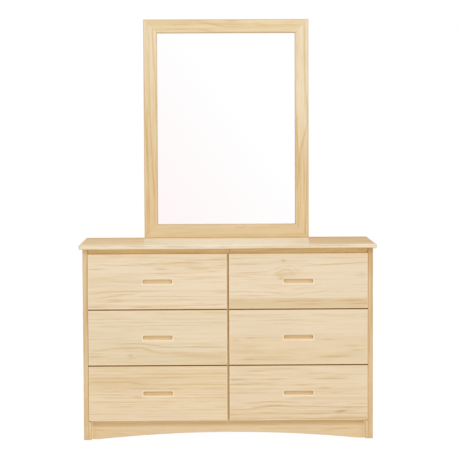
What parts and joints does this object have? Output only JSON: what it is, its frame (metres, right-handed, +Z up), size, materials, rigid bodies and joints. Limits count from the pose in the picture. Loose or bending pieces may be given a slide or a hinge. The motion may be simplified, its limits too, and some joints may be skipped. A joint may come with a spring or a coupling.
{
  "type": "dresser with mirror",
  "caption": "Wide pine dresser whose drawers slide out on wooden runners and have routed finger slots, with an arched apron and a framed mirror fixed upright behind its top.",
  "frame": {"origin": "on the floor, at the bottom centre of the bounding box", "axes": "+Z up, -Y towards the person who opens the drawers, +X to that person's right"},
  "size_m": [1.2, 0.468, 1.721],
  "materials": {
    "pine": "clear satin lacquer over pale pine",
    "pine_top": "clear satin lacquer over edge-glued pine",
    "pine_mirror_frame": "clear satin lacquer over pale pine",
    "pine_drawer_box": "planed pine, thin clear sealer",
    "plywood": "thin birch plywood, sanded",
    "hardwood": "waxed beech",
    "hardboard": "smooth brown hardboard",
    "mirror_glass": "silvered float glass",
    "zinc_steel": "zinc plated",
    "nylon": "moulded nylon"
  },
  "bodies": {
    "carcase": {"top_board": "pine_top", "left_side_panel": "pine", "right_side_panel": "pine", "left_stile": "pine", "right_stile": "pine", "centre_stile": "pine", "top_rails": "pine", "drawer_rails": "pine", "apron": "pine", "foot_strips": "pine", "centre_partition": "pine", "back_panel": "plywood", "back_top_rail": "pine", "back_bottom_rail": "pine", "left_panel_runners": "hardwood", "right_panel_runners": "hardwood", "partition_runners": "hardwood", "top_cleats": "pine", "corner_blocks": "pine", "floor_glides": "nylon", "carcase_screws": "zinc_steel", "back_panel_screws": "zinc_steel", "mirror_top_rail": "pine_mirror_frame", "mirror_bottom_rail": "pine_mirror_frame", "mirror_left_stile": "pine_mirror_frame", "mirror_right_stile": "pine_mirror_frame", "mirror_glass": "mirror_glass", "mirror_backing": "hardboard", "mirror_supports": "pine", "mirror_screws": "zinc_steel"},
    "bottom_left_drawer": {"bottom_left_drawer_front": "pine", "bottom_left_drawer_left_side": "pine_drawer_box", "bottom_left_drawer_right_side": "pine_drawer_box", "bottom_left_drawer_back": "pine_drawer_box", "bottom_left_drawer_bottom": "plywood"},
    "bottom_right_drawer": {"bottom_right_drawer_front": "pine", "bottom_right_drawer_left_side": "pine_drawer_box", "bottom_right_drawer_right_side": "pine_drawer_box", "bottom_right_drawer_back": "pine_drawer_box", "bottom_right_drawer_bottom": "plywood"},
    "middle_left_drawer": {"middle_left_drawer_front": "pine", "middle_left_drawer_left_side": "pine_drawer_box", "middle_left_drawer_right_side": "pine_drawer_box", "middle_left_drawer_back": "pine_drawer_box", "middle_left_drawer_bottom": "plywood"},
    "middle_right_drawer": {"middle_right_drawer_front": "pine", "middle_right_drawer_left_side": "pine_drawer_box", "middle_right_drawer_right_side": "pine_drawer_box", "middle_right_drawer_back": "pine_drawer_box", "middle_right_drawer_bottom": "plywood"},
    "top_left_drawer": {"top_left_drawer_front": "pine", "top_left_drawer_left_side": "pine_drawer_box", "top_left_drawer_right_side": "pine_drawer_box", "top_left_drawer_back": "pine_drawer_box", "top_left_drawer_bottom": "plywood"},
    "top_right_drawer": {"top_right_drawer_front": "pine", "top_right_drawer_left_side": "pine_drawer_box", "top_right_drawer_right_side": "pine_drawer_box", "top_right_drawer_back": "pine_drawer_box", "top_right_drawer_bottom": "plywood"}
  },
  "joints": [
    {"name": "bottom_left_drawer_slide", "type": "slide", "parent": "carcase", "child": "bottom_left_drawer", "axis": [0, -1, 0], "range_m": [0, 0.29]},
    {"name": "bottom_right_drawer_slide", "type": "slide", "parent": "carcase", "child": "bottom_right_drawer", "axis": [0, -1, 0], "range_m": [0, 0.29]},
    {"name": "middle_left_drawer_slide", "type": "slide", "parent": "carcase", "child": "middle_left_drawer", "axis": [0, -1, 0], "range_m": [0, 0.29]},
    {"name": "middle_right_drawer_slide", "type": "slide", "parent": "carcase", "child": "middle_right_drawer", "axis": [0, -1, 0], "range_m": [0, 0.29]},
    {"name": "top_left_drawer_slide", "type": "slide", "parent": "carcase", "child": "top_left_drawer", "axis": [0, -1, 0], "range_m": [0, 0.29]},
    {"name": "top_right_drawer_slide", "type": "slide", "parent": "carcase", "child": "top_right_drawer", "axis": [0, -1, 0], "range_m": [0, 0.29]}
  ]
}
